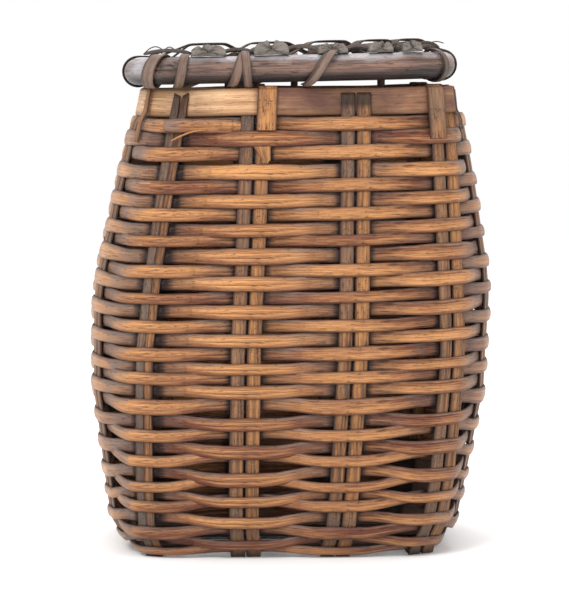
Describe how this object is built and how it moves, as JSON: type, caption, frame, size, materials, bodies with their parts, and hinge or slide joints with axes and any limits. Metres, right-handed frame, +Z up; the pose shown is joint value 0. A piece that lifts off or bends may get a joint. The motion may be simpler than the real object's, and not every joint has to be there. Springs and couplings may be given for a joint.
{
  "type": "lidded splint basket",
  "caption": "Tall bellied storage basket woven from flat wooden splints on paired uprights, with a round-rod lid hinged along the back by cane loops.",
  "frame": {"origin": "on the ground under the middle of the basket's bounding box", "axes": "+Z up, -Y towards the front, +X to the right as seen from the front; the lid is hinged along the back, at +Y"},
  "size_m": [0.3344, 0.2634, 0.4223],
  "materials": {
    "row_weaver": "aged satin, orange-brown splint",
    "upright_splint": "aged satin, dark reddish-brown splint",
    "rim_splint": "worn satin, golden-brown splint",
    "lid_rod": "dark weathered round rod",
    "lid_rib": "grey weathered half-round wood with rough cut ends",
    "lid_cane": "dull taupe-brown cane strip"
  },
  "bodies": {
    "basket": {"weaver_row_01": "row_weaver", "weaver_row_02": "row_weaver", "weaver_row_03": "row_weaver", "weaver_row_04": "row_weaver", "weaver_row_05": "row_weaver", "weaver_row_06": "row_weaver", "weaver_row_07": "row_weaver", "weaver_row_08": "row_weaver", "weaver_row_09": "row_weaver", "weaver_row_10": "row_weaver", "weaver_row_11": "row_weaver", "weaver_row_12": "row_weaver", "weaver_row_13": "row_weaver", "weaver_row_14": "row_weaver", "weaver_row_15": "row_weaver", "weaver_row_16": "row_weaver", "weaver_row_17": "row_weaver", "weaver_row_18": "row_weaver", "weaver_row_19": "row_weaver", "weaver_row_20": "row_weaver", "weaver_row_21": "row_weaver", "weaver_row_22": "row_weaver", "weaver_row_23": "row_weaver", "weaver_row_24": "row_weaver", "weaver_row_25": "row_weaver", "weaver_row_26": "row_weaver", "weaver_row_27": "row_weaver", "weaver_row_28": "row_weaver", "weaver_row_29": "row_weaver", "weaver_row_30": "row_weaver", "weaver_row_31": "row_weaver", "weaver_row_32": "row_weaver", "weaver_row_33": "row_weaver", "upright_front_1_left": "upright_splint", "upright_front_1_right": "upright_splint", "upright_front_2_left": "upright_splint", "upright_front_2_right": "upright_splint", "upright_front_3_left": "upright_splint", "upright_front_3_right": "upright_splint", "upright_front_4_left": "upright_splint", "upright_front_4_right": "upright_splint", "upright_side_1_front": "upright_splint", "upright_side_1_rear": "upright_splint", "upright_side_2_front": "upright_splint", "upright_side_2_rear": "upright_splint", "upright_side_3_front": "upright_splint", "upright_side_3_rear": "upright_splint", "rim_band": "rim_splint", "hinge_loop_1": "lid_cane", "hinge_loop_2": "lid_cane", "hinge_loop_3": "lid_cane"},
    "lid": {"lid_hoop": "lid_rod", "lid_rib_1": "lid_rib", "lid_rib_2": "lid_rib", "lid_rib_3": "lid_rib", "lid_rib_4": "lid_rib", "lid_rib_5": "lid_rib", "lid_weaver_1": "lid_cane", "lid_weaver_2": "lid_cane", "lid_front_lashing": "lid_cane"}
  },
  "joints": [
    {"name": "lid_hinge", "type": "hinge", "parent": "basket", "child": "lid", "pos_m": [-0.0015, 0.09805, 0.39792], "axis": [-0.9998, 0, -0.0222], "range_deg": [0, 120]}
  ]
}
